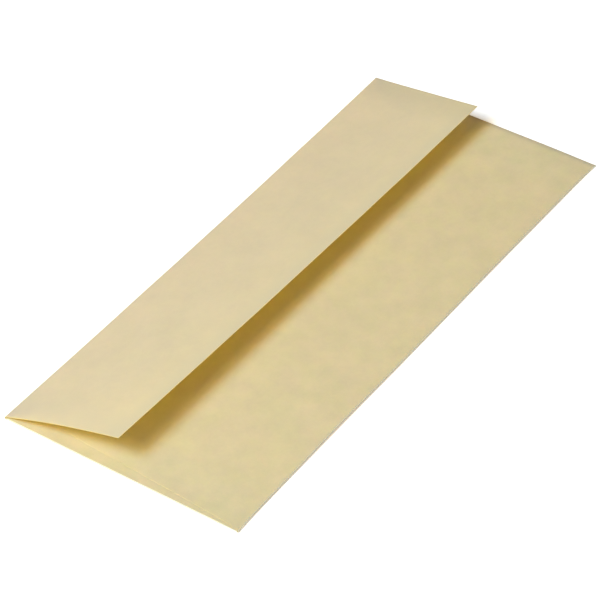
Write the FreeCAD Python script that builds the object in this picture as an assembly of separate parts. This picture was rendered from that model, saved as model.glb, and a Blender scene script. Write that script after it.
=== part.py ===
import FreeCAD, Part
import math
import os

# Paper envelope lying on its front, back side up, with its seal flap half lifted.
# It is one folded sheet. Z = 0 is the table. X runs along the long side, from the end
# where the flap stands higher to the other end. Y runs from the bottom fold to the flap fold.
# All sizes are in millimetres, and angles in degrees.

# Sheet and body
paper_thickness = 0.13
envelope_length = 241.3
envelope_height = 104.8
pocket_gap = 0.4

# Side flaps, folded inwards and glued under the back panel
side_flap_width = 19.0
side_flap_bottom_notch = 0.8
side_flap_top_notch = 1.2
side_flap_bottom_angle = 20.0
side_flap_top_angle = 35.0

# Back panel, folded up from the bottom fold
low_inset = 1.4
high_inset = 0.8
back_panel_taper_angle = 3.4
throat_depth = 16.0
throat_corner_radius = 11.0

# Seal flap
flap_depth = 52.8
flap_shoulder = 0.4
flap_taper = 4.0
low_end_lift_angle = 14.6
middle_lift_angle = 12.2
high_end_lift_angle = 9.5
low_end_bow = 0.9
middle_bow = 0.35
high_end_bow = 0.1

# How far the flap's cutting outline runs past the sheet
trim_margin = 1.0

# The pocket's layers from the table up: front panel, gap, side flaps, back panel.
side_fold_radius = (2 * paper_thickness + pocket_gap) / 2
main_fold_radius = (3 * paper_thickness + pocket_gap) / 2
body_thickness = 2 * main_fold_radius
half_length = envelope_length / 2
half_height = envelope_height / 2
front_panel_bottom = -half_height + main_fold_radius
front_panel_top = half_height - main_fold_radius
throat = half_height - throat_depth


def vector(x, y, z):
    return FreeCAD.Vector(x, y, z)


def line(start, end):
    return Part.LineSegment(start, end).toShape()


def arc(start, middle, end):
    return Part.Arc(start, middle, end).toShape()


def polygon(corners):
    """A closed wire with straight sides through the corners."""
    return Part.makePolygon(corners + [corners[0]])


def trim_above_front(shape, outline):
    """Keep what lies in the front panel's own thickness, and above it only what is inside the outline."""
    box = shape.BoundBox
    slab = Part.makeBox(box.XLength, box.YLength, paper_thickness, vector(box.XMin, box.YMin, 0))
    lift_to_front = vector(0, 0, paper_thickness)
    column = Part.Face(outline).translated(lift_to_front).extrude(vector(0, 0, box.ZMax))
    return shape.common(slab).fuse(shape.common(column))


def front_with_side_flaps():
    """The front panel and both side flaps: one section across the envelope, drawn at its bottom."""
    y = front_panel_bottom
    radius = side_fold_radius
    inner = radius - paper_thickness
    top = 2 * radius
    left = -half_length
    right = half_length

    def at(x, z):
        return vector(x, y, z)

    section = Part.Wire([
        line(at(left + radius, 0), at(right - radius, 0)),
        arc(at(right - radius, 0), at(right, radius), at(right - radius, top)),
        line(at(right - radius, top), at(right - side_flap_width, top)),
        line(at(right - side_flap_width, top), at(right - side_flap_width, top - paper_thickness)),
        line(at(right - side_flap_width, top - paper_thickness), at(right - radius, top - paper_thickness)),
        arc(at(right - radius, top - paper_thickness), at(right - radius + inner, radius),
            at(right - radius, paper_thickness)),
        line(at(right - radius, paper_thickness), at(left + radius, paper_thickness)),
        arc(at(left + radius, paper_thickness), at(left + radius - inner, radius),
            at(left + radius, top - paper_thickness)),
        line(at(left + radius, top - paper_thickness), at(left + side_flap_width, top - paper_thickness)),
        line(at(left + side_flap_width, top - paper_thickness), at(left + side_flap_width, top)),
        line(at(left + side_flap_width, top), at(left + radius, top)),
        arc(at(left + radius, top), at(left, radius), at(left + radius, 0)),
    ])
    panel_length = front_panel_top - front_panel_bottom
    return Part.Face(section).extrude(vector(0, panel_length, 0))


def side_flap_outline():
    """The plan of both side flaps and the space between them: the ends slant in from the side folds."""
    bottom = -half_height + side_flap_bottom_notch
    top = half_height - side_flap_top_notch
    bottom_rise = side_flap_width * math.tan(math.radians(side_flap_bottom_angle))
    top_drop = side_flap_width * math.tan(math.radians(side_flap_top_angle))
    inner = half_length - side_flap_width
    return polygon([
        vector(-half_length, bottom, 0),
        vector(-inner, bottom + bottom_rise, 0),
        vector(inner, bottom + bottom_rise, 0),
        vector(half_length, bottom, 0),
        vector(half_length, top, 0),
        vector(inner, top - top_drop, 0),
        vector(-inner, top - top_drop, 0),
        vector(-half_length, top, 0),
    ])


def bottom_fold_and_back_panel():
    """The bottom fold and the back panel: one section from front to back, drawn at the low X end."""
    radius = main_fold_radius
    inner = radius - paper_thickness
    bottom = -half_height

    def at(y, z):
        return vector(-half_length, y, z)

    section = Part.Wire([
        arc(at(bottom + radius, 0), at(bottom, radius), at(bottom + radius, body_thickness)),
        line(at(bottom + radius, body_thickness), at(throat, body_thickness)),
        line(at(throat, body_thickness), at(throat, body_thickness - paper_thickness)),
        line(at(throat, body_thickness - paper_thickness),
             at(bottom + radius, body_thickness - paper_thickness)),
        arc(at(bottom + radius, body_thickness - paper_thickness), at(bottom + radius - inner, radius),
            at(bottom + radius, paper_thickness)),
        line(at(bottom + radius, paper_thickness), at(bottom + radius, 0)),
    ])
    return Part.Face(section).extrude(vector(envelope_length, 0, 0))


def back_panel_outline():
    """The back panel's plan: its sides lean in towards the throat, whose two corners are round."""
    lean = math.radians(back_panel_taper_angle)
    drift = (throat + half_height) * math.tan(lean)
    low_bottom = vector(-half_length + low_inset, -half_height, 0)
    high_bottom = vector(half_length - high_inset, -half_height, 0)
    low_top = vector(-half_length + low_inset + drift, throat, 0)
    high_top = vector(half_length - high_inset - drift, throat, 0)
    # The corner's angle is a right angle plus the lean, so the round starts this far from the corner.
    setback = throat_corner_radius * math.tan((math.pi / 2 - lean) / 2)
    up_side = (low_top - low_bottom).normalize()
    down_side = (high_bottom - high_top).normalize()
    along = vector(1, 0, 0)
    low_centre = low_top + along * setback - vector(0, throat_corner_radius, 0)
    high_centre = high_top - along * setback - vector(0, throat_corner_radius, 0)
    half_turn = (math.pi / 2 - lean) / 2
    low_middle = low_centre + vector(-math.sin(half_turn), math.cos(half_turn), 0) * throat_corner_radius
    high_middle = high_centre + vector(math.sin(half_turn), math.cos(half_turn), 0) * throat_corner_radius
    return Part.Wire([
        line(low_bottom, low_top - up_side * setback),
        arc(low_top - up_side * setback, low_middle, low_top + along * setback),
        line(low_top + along * setback, high_top - along * setback),
        arc(high_top - along * setback, high_middle, high_top + down_side * setback),
        line(high_top + down_side * setback, high_bottom),
        line(high_bottom, low_bottom),
    ])


def flap_section(x, lift, bow):
    """The flap fold and the seal flap at one place along the fold.

    The flap is a shallow arc. Its chord rises at the lift angle, and its middle stands the bow above
    the chord, so it leaves the fold a little steeper than its chord.
    """
    fold_y = half_height - main_fold_radius
    chord = flap_depth - main_fold_radius
    half_turn = 2 * math.atan(2 * bow / chord)
    start_slope = math.radians(lift) + half_turn
    flap_radius = chord / (2 * math.sin(half_turn))

    def on_fold(turn, radius):
        return vector(x, fold_y + radius * math.sin(turn), main_fold_radius - radius * math.cos(turn))

    fold_turn = math.pi - start_slope
    flap_start = on_fold(fold_turn, main_fold_radius)
    outward = vector(0, math.sin(start_slope), math.cos(start_slope))
    centre = flap_start - outward * flap_radius

    def on_flap(turn, radius):
        slope = start_slope - turn
        return centre + vector(0, math.sin(slope), math.cos(slope)) * radius

    inner_fold = main_fold_radius - paper_thickness
    inner_flap = flap_radius - paper_thickness
    return Part.Wire([
        arc(on_fold(0, main_fold_radius), on_fold(fold_turn / 2, main_fold_radius), flap_start),
        arc(flap_start, on_flap(half_turn, flap_radius), on_flap(2 * half_turn, flap_radius)),
        line(on_flap(2 * half_turn, flap_radius), on_flap(2 * half_turn, inner_flap)),
        arc(on_flap(2 * half_turn, inner_flap), on_flap(half_turn, inner_flap), on_flap(0, inner_flap)),
        arc(on_fold(fold_turn, inner_fold), on_fold(fold_turn / 2, inner_fold), on_fold(0, inner_fold)),
        line(on_fold(0, inner_fold), on_fold(0, main_fold_radius)),
    ])


def seal_flap():
    """The flap fold and the seal flap, through three sections, so that the lift changes along the fold."""
    sections = [
        flap_section(-half_length, low_end_lift_angle, low_end_bow),
        flap_section(0, middle_lift_angle, middle_bow),
        flap_section(half_length, high_end_lift_angle, high_end_bow),
    ]
    return Part.makeLoft(sections, True, False)


def seal_flap_outline():
    """The flap's plan: it starts a shoulder in from each end of the fold and narrows to its free edge."""
    slope = (flap_taper - flap_shoulder) / flap_depth
    past_fold = half_height + trim_margin
    past_edge = half_height - flap_depth - trim_margin
    half_at_fold = half_length - flap_shoulder + slope * trim_margin
    half_at_edge = half_length - flap_taper - slope * trim_margin
    return polygon([
        vector(-half_at_fold, past_fold, 0),
        vector(-half_at_edge, past_edge, 0),
        vector(half_at_edge, past_edge, 0),
        vector(half_at_fold, past_fold, 0),
    ])


def envelope():
    """The whole folded sheet as one solid."""
    front = trim_above_front(front_with_side_flaps(), side_flap_outline())
    back = trim_above_front(bottom_fold_and_back_panel(), back_panel_outline())
    flap = trim_above_front(seal_flap(), seal_flap_outline())
    return front.fuse([back, flap]).removeSplitter()


os.makedirs("parts", exist_ok=True)
shape = envelope()
solid = shape.Solids[0]
print("solids", len(shape.Solids), "valid", shape.isValid(), "closed", solid.isClosed())
print("volume", round(shape.Volume, 1), "box", shape.BoundBox)
solid.exportStep("parts/envelope.step")
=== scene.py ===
import math
import bpy
import numpy as np
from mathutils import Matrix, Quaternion, Vector


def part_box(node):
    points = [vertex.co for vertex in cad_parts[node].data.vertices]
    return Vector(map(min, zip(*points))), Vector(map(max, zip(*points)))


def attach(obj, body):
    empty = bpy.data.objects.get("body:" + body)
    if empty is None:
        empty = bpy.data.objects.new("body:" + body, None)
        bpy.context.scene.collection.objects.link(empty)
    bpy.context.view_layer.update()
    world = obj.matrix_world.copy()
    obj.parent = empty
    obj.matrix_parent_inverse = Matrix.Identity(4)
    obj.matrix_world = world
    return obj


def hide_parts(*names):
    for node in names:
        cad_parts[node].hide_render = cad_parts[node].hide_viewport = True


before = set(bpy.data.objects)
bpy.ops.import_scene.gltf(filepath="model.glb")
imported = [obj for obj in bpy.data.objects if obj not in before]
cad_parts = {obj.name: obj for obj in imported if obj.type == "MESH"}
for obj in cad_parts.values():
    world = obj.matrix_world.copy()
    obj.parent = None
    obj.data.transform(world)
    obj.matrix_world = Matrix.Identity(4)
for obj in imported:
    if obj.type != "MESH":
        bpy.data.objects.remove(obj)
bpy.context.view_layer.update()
mm = 0.001

nodeLow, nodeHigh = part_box("envelope")
halfLength = (nodeHigh.x - nodeLow.x) / 2
halfHeight = (nodeHigh.y - nodeLow.y) / 2

# The folded sheet. low is the -X end, high is the +X end, bottom is the -Y side.
sheet = {
    "thickness": 0.13 * mm,
    "pocketGap": 0.4 * mm,
    "sideFlapWidth": 19.0 * mm,
    "sideFlapBottomNotch": 0.5 * mm,
    "sideFlapTopNotch": 1.2 * mm,
    "sideFlapBottomAngle": math.radians(20),
    "sideFlapTopAngle": math.radians(35),
    "lowInset": 1.4 * mm,
    "highInset": 0.8 * mm,
    "cornerInset": (0.75, 4.0 * mm),              # share that the insets lose at the bottom, and its reach
    "backTaper": math.radians(3.4),
    "throatDepth": 16.0 * mm,
    "throatCorner": 11.0 * mm,
    "flapDepth": 52.8 * mm,
    "flapShoulder": 0.4 * mm,
    "flapTaper": 4.0 * mm,
    "lifts": (14.6, 12.2, 9.5),                   # degrees, at the low end, middle and high end
    "bows": (0.9 * mm, 0.35 * mm, 0.1 * mm),      # how far the flap's middle stands above its chord
    "glueGap": 0.01 * mm,                         # keeps the glued layers from lying in one plane
    "columns": 161,
    "rows": {"back": 64, "bottomFold": 12, "front": 72, "flapFold": 14, "flap": 46},
    "notchRows": (3, 4),                          # of the front panel, below and above the side flaps
    "sideColumns": {"fold": 10, "flat": 16},
    "notchStep": 0.03 * mm,                       # the front panel steps in over this at a side flap's ends
    "sharpAngle": math.radians(40),               # edges that turn by more than this stay sharp
}

# How the paper lies: nothing folded by hand is quite straight or flat.
rest = {
    # X side, Y side, height
    "liftedCorners": ((1, 1, 0.75 * mm), (-1, -1, 0.15 * mm)),
    # along the bottom: place, width, rise, inward
    "ripples": ((0.27, 0.10, 0.30 * mm, 0.20 * mm), (0.70, 0.11, 0.15 * mm, 0.20 * mm)),
    # height, radians in half the length and in half the height, start
    "waves": ((0.05 * mm, 7.3, 3.1, 0.6), (0.03 * mm, 15.0, -8.0, 2.0), (0.025 * mm, 23.0, 11.0, 4.1)),
    "foldBow": 0.66 * mm,                         # how far the flap fold's middle lies in from its ends
    "flare": (0.6 * mm, 8.0 * mm),                # how far the bottom corners stand out, and its reach
    "bulge": 0.498 * mm,                          # the back panel's rise at the middle of the throat
    "pressed": (0.32 * mm, 9.0 * mm),             # how far the bottom corners are pressed, and its reach
    # the flap's free corner at the high end; it starts at this place along X, with the body's end as 1
    "curl": {"rise": 0.95 * mm, "outward": 0.6 * mm, "pull": 0.9 * mm, "start": 0.1},
}


def throughThree(values, p):
    # The parabola in p that has the three values at p = 0, 1/2 and 1.
    low, middle, high = values
    return low * (1 - p) * (1 - 2 * p) + middle * 4 * p * (1 - p) + high * p * (2 * p - 1)


def eased(count):
    # From 0 to 1 with steps that are small at both ends: t less nine tenths of a sine wave over its turn.
    t = np.linspace(0, 1, count)
    return t - 0.9 * np.sin(2 * math.pi * t) / (2 * math.pi)


def smooth(t):
    # From 0 to 1 and level at both ends: three times the square less twice the cube.
    return t ** 2 * (3 - 2 * t)


def mainFold(s):
    # The outer radius of the bottom and flap folds is half of three layers and the gap. The middle of the
    # paper runs half a thickness inside it.
    radius = (3 * s["thickness"] + s["pocketGap"]) / 2
    return radius, radius - s["thickness"] / 2


def backPanel(s, flat):
    # A level panel from the throat down to the bottom fold. Its inset from each end is the sum of its own
    # inset, which shrinks towards the bottom by an exponential, the lean, and a quarter round at the throat.
    radius, _ = mainFold(s)
    throat = halfHeight - s["throatDepth"]
    fall = eased(s["rows"]["back"])[:, None] * (throat + halfHeight - radius)
    y = (throat - fall) * flat
    z = (2 * radius - s["thickness"] / 2) * np.ones_like(y)
    corner = s["throatCorner"]
    into = np.clip(corner - fall, 0, corner)
    rounding = corner - np.sqrt(corner ** 2 - into ** 2)
    lean = (throat - fall + halfHeight) * math.tan(s["backTaper"])
    share, reach = s["cornerInset"]
    kept = 1 - share * np.exp(-(throat - fall + halfHeight - radius) / reach)
    return y, z, s["lowInset"] * kept + lean + rounding, s["highInset"] * kept + lean + rounding


def bottomFold(s, flat):
    # A half round. Above the front panel's own paper, its ends are inset as the back panel's are beside it.
    radius, middleRadius = mainFold(s)
    turn = np.linspace(math.pi, 0, s["rows"]["bottomFold"])[1:-1, None]
    y = (-halfHeight + radius - middleRadius * np.sin(turn)) * flat
    z = (radius - middleRadius * np.cos(turn)) * flat
    kept = (z[:, :1] > s["thickness"]) * (1 - s["cornerInset"][0])
    return y, z, s["lowInset"] * kept, s["highInset"] * kept


def frontPanel(s, flat):
    # A level panel on the table. Where it has a side flap, it ends where the side fold's half round starts.
    radius, _ = mainFold(s)
    step = s["notchStep"]
    below, above = s["notchRows"]
    notchLow, notchHigh = -halfHeight + s["sideFlapBottomNotch"], halfHeight - s["sideFlapTopNotch"]
    y = np.concatenate([
        np.linspace(-halfHeight + radius, notchLow - step, below),
        np.linspace(notchLow, notchHigh, s["rows"]["front"]),
        np.linspace(notchHigh + step, halfHeight - radius, above),
    ])[:, None]
    hasSide = (y >= notchLow - step / 2) & (y <= notchHigh + step / 2)
    inset = np.where(hasSide, s["thickness"] + s["pocketGap"] / 2, 0)
    return (y * flat, s["thickness"] / 2 * np.ones_like(y) * flat, inset, inset), hasSide[:, 0]


def foldAndFlap(s, p):
    # An arc round the flap fold, then a shallow arc whose chord rises at the lift. The flap narrows evenly
    # from its shoulder to its free edge. Also gives how far each of its rows is from that edge.
    radius, middleRadius = mainFold(s)
    lift = np.radians(throughThree(s["lifts"], p))
    bow = throughThree(s["bows"], p)
    chord = s["flapDepth"] - radius
    halfTurn = 2 * np.arctan(2 * bow / chord)
    slope = lift + halfTurn
    flapRadius = chord / (2 * np.sin(halfTurn)) - s["thickness"] / 2
    turn = np.linspace(0, 1, s["rows"]["flapFold"])[1:, None] * (math.pi - slope)
    foldY = halfHeight - radius + middleRadius * np.sin(turn)
    foldZ = radius - middleRadius * np.cos(turn)
    foldInset = np.where(foldZ[:, :1] > s["thickness"], s["flapShoulder"], 0)
    along = eased(s["rows"]["flap"])[1:, None]
    angle = slope - along * 2 * halfTurn
    flapY = foldY[-1] + flapRadius * (np.sin(angle) - np.sin(slope))
    flapZ = foldZ[-1] + flapRadius * (np.cos(angle) - np.cos(slope))
    flapInset = s["flapShoulder"] + (s["flapTaper"] - s["flapShoulder"]) * along
    return (foldY, foldZ, foldInset, foldInset), (flapY, flapZ, flapInset, flapInset), (1 - along) * chord


def stripOfPanels(s):
    # One profile in Y and Z carried along X, from the throat down the back panel, round the bottom fold,
    # up the front panel, round the flap fold and out to the flap's free edge. Rows follow the profile and
    # columns go from the low end to the high end. Each row runs between its own two side edges.
    p = eased(s["columns"])[None, :]
    flat = np.ones_like(p)
    back, bottom = backPanel(s, flat), bottomFold(s, flat)
    front, hasSide = frontPanel(s, flat)
    fold, flap, toFreeEdge = foldAndFlap(s, p)
    panels = (back, bottom, front, fold, flap)
    y, z, lowInset, highInset = (np.vstack([panel[k] for panel in panels]) for k in range(4))
    lowEdge = -halfLength + lowInset
    highEdge = halfLength - highInset
    x = lowEdge + (highEdge - lowEdge) * p
    firstFront = len(back[0]) + len(bottom[0])
    sideRows = firstFront + np.flatnonzero(hasSide)
    firstFlap = firstFront + len(front[0])

    # how far each point of the flap is from its cut edges, and a large number elsewhere
    fromFree, fromLow, fromHigh = (np.ones_like(x) for _ in range(3))
    onFlap = slice(len(y) - len(flap[0]), None)
    fromFree[onFlap] = toFreeEdge
    fromLow[onFlap] = (x - lowEdge)[onFlap]
    fromHigh[onFlap] = (highEdge - x)[onFlap]
    return x, y, z, sideRows, firstFlap, (fromFree, fromLow, fromHigh)


def sideFlap(s, rowY, end):
    # A profile in X and Z carried along Y: a half round at the side fold, then a flat flap lying inwards.
    # Its rows start at the front panel's rows and draw together as the two slanted ends come in.
    t = s["thickness"]
    radius = t + s["pocketGap"] / 2
    middleRadius = radius - t / 2
    turn = np.linspace(0, math.pi, s["sideColumns"]["fold"])
    share = np.linspace(0, 1, s["sideColumns"]["flat"])[1:]
    flatReach = radius + (s["sideFlapWidth"] - radius) * share ** 2
    reach = np.concatenate([radius - middleRadius * np.sin(turn), flatReach])
    z = np.concatenate([radius - middleRadius * np.cos(turn), np.full(len(share), 2 * radius - t / 2)])
    z = z - s["glueGap"] * np.clip(z / z.max(), 0, 1) ** 4
    inward = np.where(z > t, reach, 0)[None, :]
    bottom, top = rowY.min(), rowY.max()
    q = ((rowY - bottom) / (top - bottom))[:, None]
    lowY = bottom + inward * math.tan(s["sideFlapBottomAngle"])
    highY = top - inward * math.tan(s["sideFlapTopAngle"])
    y = lowY + (highY - lowY) * q
    x = end * (halfLength - reach[None, :]) * np.ones_like(y)
    return x, y, z[None, :] * np.ones_like(y)


def layDown(x, y, z, isFlap, isBack, s, r):
    # Moves the straight folded sheet to how it lies. u and v go from -1 to 1 along X and Y, and the flap
    # takes the v of its fold. A corner rises by powers of u and v, a ripple is a bell curve at the bottom,
    # a wave is a sine, the bow and the bulge are parabolas in u, the flare fades from the ends by an
    # exponential, and the pressed corners are bell curves that bring the upper layers down.
    u = np.clip(x / halfLength, -1, 1)
    v = np.where(isFlap, 1, np.clip(y / halfHeight, -1, 1))
    toTop, toBottom = (1 + v) / 2, (1 - v) / 2
    up, across = np.zeros_like(x), np.zeros_like(x)
    for side, top, height in r["liftedCorners"]:
        up += height * ((1 + side * u) / 2) ** 4 * ((1 + top * v) / 2) ** 2
    for place, width, rise, inward in r["ripples"]:
        wave = np.exp(-(((1 + u) / 2 - place) / width) ** 2)
        up += rise * wave * toBottom ** 2
        across += inward * wave * toBottom ** 6
    for height, alongX, alongY, start in r["waves"]:
        up += height * (1 + np.sin(alongX * u + alongY * y / halfHeight + start))
    across -= r["foldBow"] * (1 - u ** 2) * toTop ** 6
    outward, reach = r["flare"]
    across -= outward * np.exp(-(1 - np.abs(u)) * halfLength / reach) * toBottom ** 8
    toThroat = toTop / (1 - s["throatDepth"] / (2 * halfHeight))
    up += r["bulge"] * isBack * (1 - u ** 2) * toThroat ** 1.5
    depth, reach = r["pressed"]
    fromCorner = np.hypot(halfLength - np.abs(x), halfHeight + y)
    above = np.clip((z - s["thickness"] / 2) / (s["thickness"] + s["pocketGap"]), 0, 1)
    up -= depth * np.exp(-(fromCorner / reach) ** 2) * above * ~isFlap

    # the curl grows towards the high end by a smooth step, and out to the free edge evenly or by its square
    curl = r["curl"]
    toEnd = isFlap * smooth(np.clip((u - curl["start"]) / (1 - curl["start"]), 0, 1))
    toEdge = np.clip((halfHeight - y) / (halfHeight - y[isFlap].min()), 0, 1)
    up += curl["rise"] * toEnd * toEdge ** 2
    across -= curl["outward"] * toEnd * toEdge
    return np.stack([x - curl["pull"] * toEnd * toEdge, y + across, z + up], -1)


def quadsOf(index):
    # Four neighbours of a grid of point numbers make one face.
    return np.stack([index[:-1, :-1], index[1:, :-1], index[1:, 1:], index[:-1, 1:]], -1).reshape(-1, 4)


def closeSheet(points, faces, thickness):
    # Each point gives two, half the thickness out along its normal on either side. The faces are repeated
    # for both sides, and every edge that has a face on one side only gets a rim.
    a, b, c, d = (points[faces[:, k]] for k in range(4))
    faceNormal = np.cross(c - a, d - b)
    normal = np.zeros_like(points)
    for k in range(4):
        np.add.at(normal, faces[:, k], faceNormal)
    normal /= np.linalg.norm(normal, axis=1, keepdims=True)
    count = len(points)
    both = np.vstack([points + normal * thickness / 2, points - normal * thickness / 2])
    edges = np.vstack([faces[:, [k, (k + 1) % 4]] for k in range(4)])
    keys = edges[:, 0] * count + edges[:, 1]
    reverse = edges[:, 1] * count + edges[:, 0]
    rim = edges[~np.isin(keys, reverse)]
    rimFaces = np.stack([rim[:, 1], rim[:, 0], rim[:, 0] + count, rim[:, 1] + count], -1)
    return both, np.vstack([faces, faces[:, ::-1] + count, rimFaces])


# Bands along folds and cut edges: how strong from 0 to 1, and how wide. Pressed folds are closed, so
# little light gets through them. The painted shade is a darker, cooler colour along the bottom edge, the
# high end's fold and the flap's high edge and end, which turn from the lamps or lie farthest from them,
# and around the low bottom corner. The flap's low end and its rim along the free edge send back less
# red, painted shade against the light that comes through them from below, and its rim along the fold
# is cooler. Its cut edges are warmer, a painted glow of the light that comes through them.
bands = {
    "bottomFold": (0.8, 0.6 * mm),
    "lowFold": (1.0, 0.5 * mm),
    # The next five bands are the painted shade: darker edges where the paper turns from the lamps or lies
    # farthest from them, and a darker low bottom corner.
    "bottomEdge": (0.3, 1.0 * mm),
    "highFold": (1.0, 2.8 * mm),
    "lowCorner": (0.3, 14 * mm),
    "flapHighEdge": (1.0, 1.2 * mm),
    "flapHighEnd": (0.38, 20 * mm),
    # painted shade at the flap's low end, against the light that comes through it from below
    "lowEndShadeBand": (0.9, 18 * mm),
    "lowEndShadeAtFold": 0.4,                          # how much of the low margin is left at the flap fold
    # painted shade of red along the flap's free edge, against the light that comes through from below; the
    # rim along the fold below is cooler
    "freeRim": (1.0, 9 * mm),
    "foldRim": (1.0, 1.6 * mm),
    # a painted glow of the light that comes through the flap's cut edges
    "edgeGlowBand": (1.0, 0.5 * mm),
    "bodyHeight": 2.0 * mm,                       # the bands of the body's own folds stay below this
}


def band(distance, strength, width):
    # The strength at the edge, falling by a smooth step to nothing a width away from it.
    return strength * smooth(np.clip(1 - distance / width, 0, 1))


def bandMasks(x, y, z, fromFree, fromLow, fromHigh, s, b):
    # A mask is the strongest of its bands at each point, and the painted shade at the flap's low end grows
    # evenly from the flap fold to the free edge.
    low = z < b["bodyHeight"]
    bottom, lowEnd, highEnd = y + halfHeight, x + halfLength, halfLength - x
    outward = np.clip(1 - fromFree / s["flapDepth"], 0, 1)
    return {
        "pressed": np.maximum(band(bottom, *b["bottomFold"]), band(lowEnd, *b["lowFold"])) * low,
        # painted shade along the edges that turn from the lamps or lie farthest from them, and round the low
        # bottom corner
        "paintedShade": np.maximum.reduce([
            band(bottom, *b["bottomEdge"]) * low,
            band(highEnd, *b["highFold"]) * low,
            band(np.hypot(lowEnd, bottom), *b["lowCorner"]),
            band(fromHigh, *b["flapHighEdge"]),
            band(fromHigh, *b["flapHighEnd"]),
        ]),
        # painted shade at the flap's low end
        "lowEndShade": band(fromLow, *b["lowEndShadeBand"]) * (b["lowEndShadeAtFold"] + (1 - b["lowEndShadeAtFold"]) * outward),
        # painted shade of red along the flap's free edge, and a cooler rim along the fold
        "rim": np.maximum(band(fromFree, *b["freeRim"]), band(halfHeight - y, *b["foldRim"])),
        # a painted glow of the light that comes through the flap's cut edges
        "edgeGlow": band(np.minimum(fromFree, fromLow), *b["edgeGlowBand"]),
    }


def buildSheet(s, r, b):
    # The strip of panels and the two side flaps are one grid each. A side flap's first column is the front
    # panel's own edge. The points are laid down and the sheet is closed, and its masks go to both sides.
    x, y, z, sideRows, firstFlap, fromEdges = stripOfPanels(s)
    index = np.arange(x.size).reshape(x.shape)
    isFlap = (index >= firstFlap * x.shape[1]).ravel()
    isBack = (index < s["rows"]["back"] * x.shape[1]).ravel()
    parts = [np.stack([x, y, z], -1).reshape(-1, 3)]
    faces = [quadsOf(index)]
    count = x.size
    for end, column in ((-1, 0), (1, -1)):
        side = np.stack(sideFlap(s, y[sideRows, column], end), -1)[:, 1:]
        fresh = np.arange(side[..., 0].size).reshape(side.shape[:2]) + count
        parts.append(side.reshape(-1, 3))
        count += fresh.size
        sideIndex = np.hstack([index[sideRows, column][:, None], fresh])
        faces.append(quadsOf(sideIndex if end > 0 else sideIndex[:, ::-1]))
    x, y, z = np.vstack(parts).T
    more = count - len(isFlap)
    isFlap, isBack = (np.pad(part, (0, more)) for part in (isFlap, isBack))
    fromEdges = (np.pad(part.ravel(), (0, more), constant_values=1) for part in fromEdges)
    masks = bandMasks(x, y, z, *fromEdges, s, b)
    masks["loose"] = isFlap.astype(float)
    laid = layDown(x, y, z, isFlap, isBack, s, r)
    points, faces = closeSheet(laid, np.vstack(faces), s["thickness"])
    return points, faces, {name: np.tile(mask, 2) for name, mask in masks.items()}


def makeMesh(name, points, faces, masks, sharpAngle):
    # One mesh object with smooth faces, sharp cut edges and a point attribute for each mask.
    mesh = bpy.data.meshes.new(name)
    mesh.from_pydata(points.tolist(), [], faces.tolist())
    mesh.update()
    mesh.shade_smooth()
    mesh.set_sharp_from_angle(angle=sharpAngle)
    for mask, values in masks.items():
        mesh.attributes.new(mask, "FLOAT", "POINT").data.foreach_set("value", values.astype(np.float32))
    piece = bpy.data.objects.new(name, mesh)
    bpy.context.collection.objects.link(piece)
    return piece


points, faces, masks = buildSheet(sheet, rest, bands)
envelope = makeMesh("foldedEnvelope", points, faces, masks, sheet["sharpAngle"])
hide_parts("envelope")
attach(envelope, "root")
print("folded sheet:", len(points), "points,", len(faces), "faces")


# Cream parchment-like paper. Some of the light goes through it, and comes out warmer than what it sends
# back, so the colour that is seen is the sum of both. The noises are features per mm, detail and roughness.
paper = {
    "clouds": (0.09, 7, 0.88),
    "tints": (0.11, 5, 0.75),
    "strands": (0.5, 2, 0.5),
    "tooth": (2.6, 3, 0.6),
    "cloudSpread": (0.25, 0.75),       # the noise values between which it takes effect
    "tintSpread": (0.38, 0.62),
    "toothSpread": (0.3, 0.7),
    "tintShift": (37, 11, 5),          # mm, so that the tints don't follow the clouds
    "strandRuns": ((0.5, (0.7, 9, 4), 0.62), (-0.9, (0.6, 8, 4), 0.63)),   # turn, stretch, faintest value
    "strandFull": 0.72,
    "greenish": (0.865, 0.979, 0.792, 1),
    "pinkish": (0.883, 0.964, 0.838, 1),
    "cloudContrast": 0.135,            # on the flap
    "bodyClouds": 0.69,                # how much of that contrast the body has
    "fibre": (1.0, 1.0, 0.96, 1),
    "fibreShare": 0.4,
    "fibreHeight": 0.4,                # how far the fibres stand up, against the tooth
    "closed": (0.84, 0.80, 0.66, 1),   # where little light gets through, the paper itself is cream
    # painted shade at the flap's low end: less red, against the light that comes through from below
    "lowEndShade": (0.66, 0.80, 0.92, 1),
    # painted shade of red along the flap's free edge, and a cooler rim along the fold
    "rim": (0.80, 0.91, 0.90, 1),
    # painted shade: a darker, cooler colour
    "paintedShade": (0.61, 0.70, 0.70, 1),
    # a painted glow of the light that comes through the flap's cut edges
    "edgeGlow": (0.95, 0.95, 0.62, 1),
    "edgeGlowShare": 0.6,
    # the flap's paler, cooler copy of the paper is painted light: it evens the flap, which has shade behind
    # it, with the body
    "loose": (0.945, 0.985, 1.0, 1),   # the flap
    "looseShare": 0.45,
    "throughColour": (1.0, 0.79, 0.14, 1),
    "through": (0.588, 0.612),         # the share of light that goes through, from dark to pale clouds
    "closedThrough": 0.12,             # how much of that share is left where the paper is closed
    "roughness": (0.68, 0.78),
    "shine": 0.3,
    "toothDepth": 0.02 * mm,
    "toothStrength": 0.6,
}


def linked(nodes, links, kind, sources, **values):
    # A new node with its named settings and inputs; sources gives what feeds an input, by number or name.
    node = nodes.new(kind)
    for key, value in values.items():
        setattr(node, key, value)
    for key, source in sources.items():
        if isinstance(source, bpy.types.NodeSocket):
            links.new(source, node.inputs[key])
        else:
            node.inputs[key].default_value = source
    return node


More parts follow.
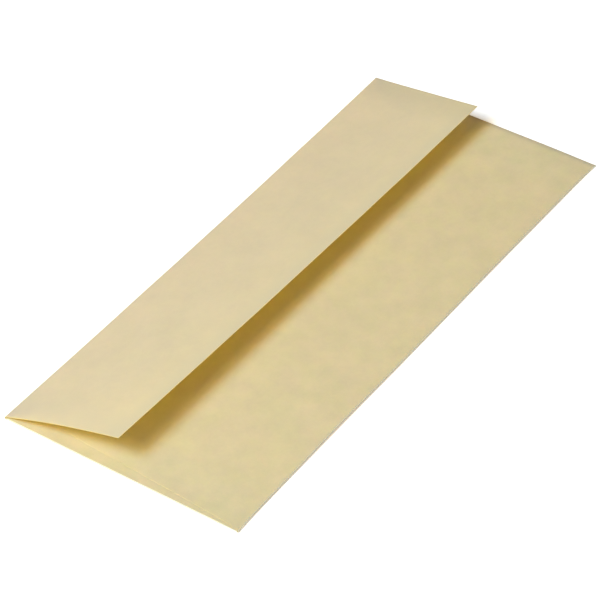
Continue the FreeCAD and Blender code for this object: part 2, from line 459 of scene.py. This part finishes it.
def makePaper(look):
    # Two tints mixed by one noise and made lighter and darker by another, then fibres, then one colour mixed
    # in for each mask. The flap's paler copy and the edge glow are painted light, and the low end's and the
    # free rim's colours and the darker edges are painted shade. That is what is sent back, and a share of
    # the light goes through in its own colour.
    material = bpy.data.materials.new("creamPaper")
    material.use_nodes = True
    nodes, links = material.node_tree.nodes, material.node_tree.links

    def add(kind, sources, **values):
        return linked(nodes, links, kind, sources, **values)

    def millimetres(scale=(1, 1, 1), shift=(0, 0, 0), turn=0):
        sources = {"Vector": here, "Scale": [each / mm for each in scale]}
        return add("ShaderNodeMapping", {**sources, "Location": shift, "Rotation": (0, 0, turn)}).outputs[0]

    def noise(place, settings):
        scale, detail, roughness = settings
        sources = {"Vector": place, "Scale": scale, "Detail": detail, "Roughness": roughness}
        return add("ShaderNodeTexNoise", sources).outputs[0]

    def remap(value, spread, result):
        sources = {0: value, 1: spread[0], 2: spread[1], 3: result[0], 4: result[1]}
        return add("ShaderNodeMapRange", sources, interpolation_type="SMOOTHSTEP").outputs[0]

    def mix(share, first, second):
        # inputs 6 and 7 and output 2 are the node's colours
        return add("ShaderNodeMix", {0: share, 6: first, 7: second}, data_type="RGBA").outputs[2]

    def calculate(operation, *values):
        return add("ShaderNodeMath", dict(enumerate(values)), operation=operation).outputs[0]

    def strands(turn, stretch, faintest):
        drawnOut = noise(millimetres(stretch, turn=turn), look["strands"])
        return remap(drawnOut, (faintest, look["strandFull"]), (0, 1))

    here = nodes.new("ShaderNodeTexCoord").outputs["Object"]
    place = millimetres()
    clouds = noise(place, look["clouds"])
    tints = remap(noise(millimetres(shift=look["tintShift"]), look["tints"]), look["tintSpread"], (0, 1))
    fibres = calculate("MAXIMUM", *(strands(*run) for run in look["strandRuns"]))
    tooth = noise(place, look["tooth"])

    names = ("edgeGlow", "pressed", "paintedShade", "lowEndShade", "rim", "loose")
    edgeGlow, pressed, paintedShade, lowEndShade, rim, loose = (
        add("ShaderNodeAttribute", {}, attribute_name=name).outputs["Fac"] for name in names)
    tinted = mix(tints, look["greenish"], look["pinkish"])
    value = remap(clouds, look["cloudSpread"], (1 - look["cloudContrast"], 1 + look["cloudContrast"]))
    strength = remap(loose, (0, 1), (look["bodyClouds"], 1))
    clouded = add("ShaderNodeHueSaturation", {"Value": value, "Fac": strength, "Color": tinted}).outputs[0]
    fibrous = mix(calculate("MULTIPLY", fibres, look["fibreShare"]), clouded, look["fibre"])
    # the flap's paler copy of the paper is painted light
    loosened = mix(calculate("MULTIPLY", loose, look["looseShare"]), fibrous, look["loose"])
    # the free rim's and the low end's colours are painted shade
    shaded = mix(lowEndShade, mix(rim, loosened, look["rim"]), look["lowEndShade"])
    creamy = mix(pressed, shaded, look["closed"])
    # the painted glow along the flap's cut edges
    withEdgeGlow = mix(calculate("MULTIPLY", edgeGlow, look["edgeGlowShare"]), creamy, look["edgeGlow"])
    # the painted shade is mixed in last
    withPaintedShade = mix(paintedShade, withEdgeGlow, look["paintedShade"])

    height = calculate("MULTIPLY_ADD", fibres, look["fibreHeight"], tooth)
    relief = {"Height": height, "Strength": look["toothStrength"], "Distance": look["toothDepth"]}
    shader = nodes["Principled BSDF"]
    shader.inputs["Specular IOR Level"].default_value = look["shine"]
    links.new(withPaintedShade, shader.inputs["Base Color"])
    links.new(remap(tooth, look["toothSpread"], look["roughness"]), shader.inputs["Roughness"])
    links.new(add("ShaderNodeBump", relief).outputs[0], shader.inputs["Normal"])
    glow = add("ShaderNodeBsdfTranslucent", {"Color": look["throughColour"]}).outputs[0]
    passing = remap(pressed, (0, 1), (1, look["closedThrough"]))
    share = calculate("MULTIPLY", remap(clouds, look["cloudSpread"], look["through"]), passing)
    both = add("ShaderNodeMixShader", {0: share, 1: shader.outputs[0], 2: glow}).outputs[0]
    links.new(both, nodes["Material Output"].inputs["Surface"])
    return material


envelope.data.materials.append(makePaper(paper))
print("paper material ready")


# Floor, lamps and sky. The two soft lamps and the sky together are about white.
studio = {
    "floorSize": 12.0,
    "floorColour": (0.9, 0.9, 0.9, 1),
    "floorRoughness": 0.9,
    "floorLift": 0.3,
    "lampDistance": 2.16,
    "lampSize": 0.85,
    "warmLamp": {"toward": (-0.925, 0.10, 1.0), "power": 26.2, "colour": (1.0, 0.789, 0.398)},
    "coolLamp": {"toward": (-0.675, 0.38, 1.0), "power": 39.4, "colour": (0.493, 0.731, 1.0)},
    "skyColour": (1.0, 0.80, 0.56, 1),
    "skyStrength": 0.387,
}


def makeFloor(look):
    # One square face on the table's level. Seen directly or in a reflection it is lifted to white, and it
    # lights nothing by that.
    half = look["floorSize"] / 2
    corners = [(-half, -half, 0), (half, -half, 0), (half, half, 0), (-half, half, 0)]
    mesh = bpy.data.meshes.new("floor")
    mesh.from_pydata(corners, [], [(0, 1, 2, 3)])
    floor = bpy.data.objects.new("floor", mesh)
    bpy.context.collection.objects.link(floor)
    material = bpy.data.materials.new("paleFloor")
    material.use_nodes = True
    nodes, links = material.node_tree.nodes, material.node_tree.links
    shader = nodes["Principled BSDF"]
    shader.inputs["Base Color"].default_value = look["floorColour"]
    shader.inputs["Roughness"].default_value = look["floorRoughness"]
    path = nodes.new("ShaderNodeLightPath")
    either = {0: path.outputs["Is Camera Ray"], 1: path.outputs["Is Glossy Ray"]}
    seen = linked(nodes, links, "ShaderNodeMath", either, operation="MAXIMUM").outputs[0]
    lift = {0: seen, 1: look["floorLift"]}
    lifted = linked(nodes, links, "ShaderNodeMath", lift, operation="MULTIPLY").outputs[0]
    shader.inputs["Emission Color"].default_value = (1, 1, 1, 1)
    links.new(lifted, shader.inputs["Emission Strength"])
    floor.data.materials.append(material)


def makeLight(look):
    # Each lamp is a round soft one at its distance along its direction, facing the origin. The sky is even.
    for name in ("warmLamp", "coolLamp"):
        lamp = bpy.data.lights.new(name, "AREA")
        lamp.shape = "DISK"
        lamp.size = look["lampSize"]
        lamp.energy = look[name]["power"]
        lamp.color = look[name]["colour"]
        toward = Vector(look[name]["toward"]).normalized()
        holder = bpy.data.objects.new(name, lamp)
        holder.location = toward * look["lampDistance"]
        holder.rotation_euler = toward.to_track_quat("Z", "Y").to_euler()
        bpy.context.collection.objects.link(holder)
    world = bpy.data.worlds.new("studio")
    world.use_nodes = True
    background = world.node_tree.nodes["Background"]
    background.inputs["Color"].default_value = look["skyColour"]
    background.inputs["Strength"].default_value = look["skyStrength"]
    bpy.context.scene.world = world


# The camera's place comes from the envelope's corners and edges in the photograph.
view = {
    "imageWidth": 600,
    "focalPixels": 2900.0,
    "sensorWidth": 36,
    "azimuth": math.radians(-52.94),
    "elevation": math.radians(41.34),
    "roll": math.radians(2.80),
    "distance": 1096.6 * mm,
    "target": (-8.85 * mm, -0.41 * mm, 0),
}


def makeCamera(look):
    # The camera stands back from its target along the direction of the two angles, looks at it and rolls.
    a, e = look["azimuth"], look["elevation"]
    back = Vector((math.sin(a) * math.cos(e), -math.cos(a) * math.cos(e), math.sin(e)))
    data = bpy.data.cameras.new("camera")
    data.sensor_width = look["sensorWidth"]
    data.lens = look["sensorWidth"] * look["focalPixels"] / look["imageWidth"]
    camera = bpy.data.objects.new("camera", data)
    camera.location = Vector(look["target"]) + back * look["distance"]
    camera.rotation_mode = "QUATERNION"
    camera.rotation_quaternion = (-back).to_track_quat("-Z", "Y") @ Quaternion((0, 0, 1), -look["roll"])
    bpy.context.collection.objects.link(camera)
    bpy.context.scene.camera = camera


makeFloor(studio)
makeLight(studio)
makeCamera(view)
bpy.context.scene.view_settings.view_transform = "Standard"
print("floor, light and camera ready")
